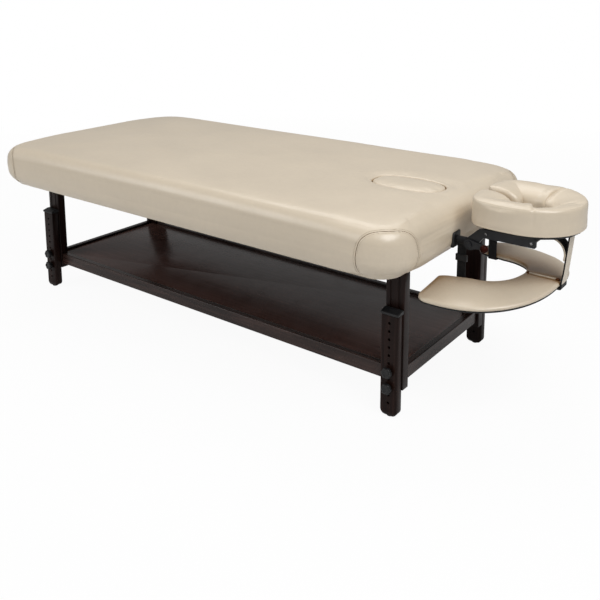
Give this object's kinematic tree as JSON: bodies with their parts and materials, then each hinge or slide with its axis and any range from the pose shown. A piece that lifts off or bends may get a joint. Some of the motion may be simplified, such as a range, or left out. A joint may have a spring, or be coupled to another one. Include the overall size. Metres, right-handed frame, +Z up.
{
  "type": "massage table",
  "caption": "Padded massage table on adjustable wooden legs with a lower shelf, a tilting face cradle and a hanging armrest.",
  "frame": {"origin": "on the floor under the middle of the whole outline, face cradle included", "axes": "+X from the foot end to the head end, +Y from the front side to the back side, +Z up"},
  "size_m": [2.19, 0.92, 0.6566],
  "materials": {
    "cream_leather": "satin leatherette with a fine grain",
    "plywood": "raw",
    "black_cloth": "plain woven",
    "dark_walnut": "dark stain under gloss varnish",
    "black_plastic": "moulded, fine texture",
    "black_metal": "black powder coat",
    "steel": "zinc plated",
    "red_wood": "turned and varnished",
    "rubber": "matt",
    "black_webbing": "ribbed webbing"
  },
  "bodies": {
    "table": {"top_cushion": "cream_leather", "deck_panel": "plywood", "top_frame": "plywood", "dust_cover": "black_cloth", "leg_post_head_front": "dark_walnut", "leg_post_head_back": "dark_walnut", "leg_post_foot_front": "dark_walnut", "leg_post_foot_back": "dark_walnut", "shelf_rail_front": "dark_walnut", "shelf_rail_back": "dark_walnut", "shelf_rail_head": "dark_walnut", "shelf_rail_foot": "dark_walnut", "shelf_panel": "dark_walnut", "cradle_socket_front": "black_plastic", "cradle_socket_back": "black_plastic"},
    "leg_head_front": {"leg_extension_head_front": "dark_walnut", "extension_cap_head_front": "black_plastic", "foot_pad_head_front": "rubber"},
    "leg_head_back": {"leg_extension_head_back": "dark_walnut", "extension_cap_head_back": "black_plastic", "foot_pad_head_back": "rubber"},
    "leg_foot_front": {"leg_extension_foot_front": "dark_walnut", "extension_cap_foot_front": "black_plastic", "foot_pad_foot_front": "rubber"},
    "leg_foot_back": {"leg_extension_foot_back": "dark_walnut", "extension_cap_foot_back": "black_plastic", "foot_pad_foot_back": "rubber"},
    "knob_head_front_lower": {"leg_knob_head_front_lower": "black_plastic"},
    "knob_head_front_upper": {"leg_knob_head_front_upper": "black_plastic"},
    "knob_head_back_lower": {"leg_knob_head_back_lower": "black_plastic"},
    "knob_head_back_upper": {"leg_knob_head_back_upper": "black_plastic"},
    "knob_foot_front_lower": {"leg_knob_foot_front_lower": "black_plastic"},
    "knob_foot_front_upper": {"leg_knob_foot_front_upper": "black_plastic"},
    "knob_foot_back_lower": {"leg_knob_foot_back_lower": "black_plastic"},
    "knob_foot_back_upper": {"leg_knob_foot_back_upper": "black_plastic"},
    "breath_plug": {"breath_plug": "cream_leather"},
    "cradle_base": {"cradle_base_front": "black_metal", "cradle_base_back": "black_metal", "cradle_axle": "steel", "side_strap_front": "black_webbing", "side_strap_back": "black_webbing", "strap_buckle_front": "black_plastic", "strap_buckle_back": "black_plastic", "armrest_front": "cream_leather", "armrest_back": "cream_leather", "armrest_hinge": "black_metal", "front_strap_outer": "black_webbing", "front_strap_inner": "black_webbing"},
    "lock_lever": {"lock_lever": "black_metal", "lever_knob": "red_wood"},
    "cradle_head": {"cradle_arm_front": "black_metal", "cradle_arm_back": "black_metal", "arm_screw_front_root": "steel", "arm_screw_front_tip": "steel", "arm_screw_back_root": "steel", "arm_screw_back_tip": "steel", "cradle_cross_bar": "black_metal", "cradle_platform": "black_plastic"},
    "face_pad": {"face_cushion": "cream_leather"}
  },
  "joints": [
    {"name": "leg_slide_head_front", "type": "slide", "parent": "table", "child": "leg_head_front", "axis": [0, 0, 1], "range_m": [-0.1, 0.05]},
    {"name": "leg_slide_head_back", "type": "slide", "parent": "table", "child": "leg_head_back", "axis": [0, 0, 1], "range_m": [-0.1, 0.05]},
    {"name": "leg_slide_foot_front", "type": "slide", "parent": "table", "child": "leg_foot_front", "axis": [0, 0, 1], "range_m": [-0.1, 0.05]},
    {"name": "leg_slide_foot_back", "type": "slide", "parent": "table", "child": "leg_foot_back", "axis": [0, 0, 1], "range_m": [-0.1, 0.05]},
    {"name": "knob_turn_head_front_lower", "type": "hinge", "parent": "table", "child": "knob_head_front_lower", "pos_m": [0.6504, -0.3053, 0.095], "axis": [0, 1, 0], "continuous": true},
    {"name": "knob_turn_head_front_upper", "type": "hinge", "parent": "table", "child": "knob_head_front_upper", "pos_m": [0.6504, -0.3053, 0.145], "axis": [0, 1, 0], "continuous": true},
    {"name": "knob_turn_head_back_lower", "type": "hinge", "parent": "table", "child": "knob_head_back_lower", "pos_m": [0.6504, 0.3053, 0.095], "axis": [0, 1, 0], "continuous": true},
    {"name": "knob_turn_head_back_upper", "type": "hinge", "parent": "table", "child": "knob_head_back_upper", "pos_m": [0.6504, 0.3053, 0.145], "axis": [0, 1, 0], "continuous": true},
    {"name": "knob_turn_foot_front_lower", "type": "hinge", "parent": "table", "child": "knob_foot_front_lower", "pos_m": [-0.9904, -0.3053, 0.095], "axis": [0, 1, 0], "continuous": true},
    {"name": "knob_turn_foot_front_upper", "type": "hinge", "parent": "table", "child": "knob_foot_front_upper", "pos_m": [-0.9904, -0.3053, 0.145], "axis": [0, 1, 0], "continuous": true},
    {"name": "knob_turn_foot_back_lower", "type": "hinge", "parent": "table", "child": "knob_foot_back_lower", "pos_m": [-0.9904, 0.3053, 0.095], "axis": [0, 1, 0], "continuous": true},
    {"name": "knob_turn_foot_back_upper", "type": "hinge", "parent": "table", "child": "knob_foot_back_upper", "pos_m": [-0.9904, 0.3053, 0.145], "axis": [0, 1, 0], "continuous": true},
    {"name": "breath_plug_lift", "type": "slide", "parent": "table", "child": "breath_plug", "axis": [0, 0, 1], "range_m": [0, 0.12]},
    {"name": "cradle_slide", "type": "slide", "parent": "table", "child": "cradle_base", "axis": [1, 0, 0], "range_m": [0, 0.06]},
    {"name": "cradle_tilt", "type": "hinge", "parent": "cradle_base", "child": "cradle_head", "pos_m": [0.811, 0, 0.52], "axis": [0, 1, 0], "range_deg": [0, 25], "deforming": ["front_strap_outer", "front_strap_inner"]},
    {"name": "face_cushion_lift", "type": "slide", "parent": "cradle_head", "child": "face_pad", "axis": [0, 0, 1], "range_m": [0, 0.1]},
    {"name": "lock_lever_turn", "type": "hinge", "parent": "cradle_base", "child": "lock_lever", "pos_m": [0.811, -0.1329, 0.52], "axis": [0, 1, 0], "range_deg": [0, 60]}
  ]
}
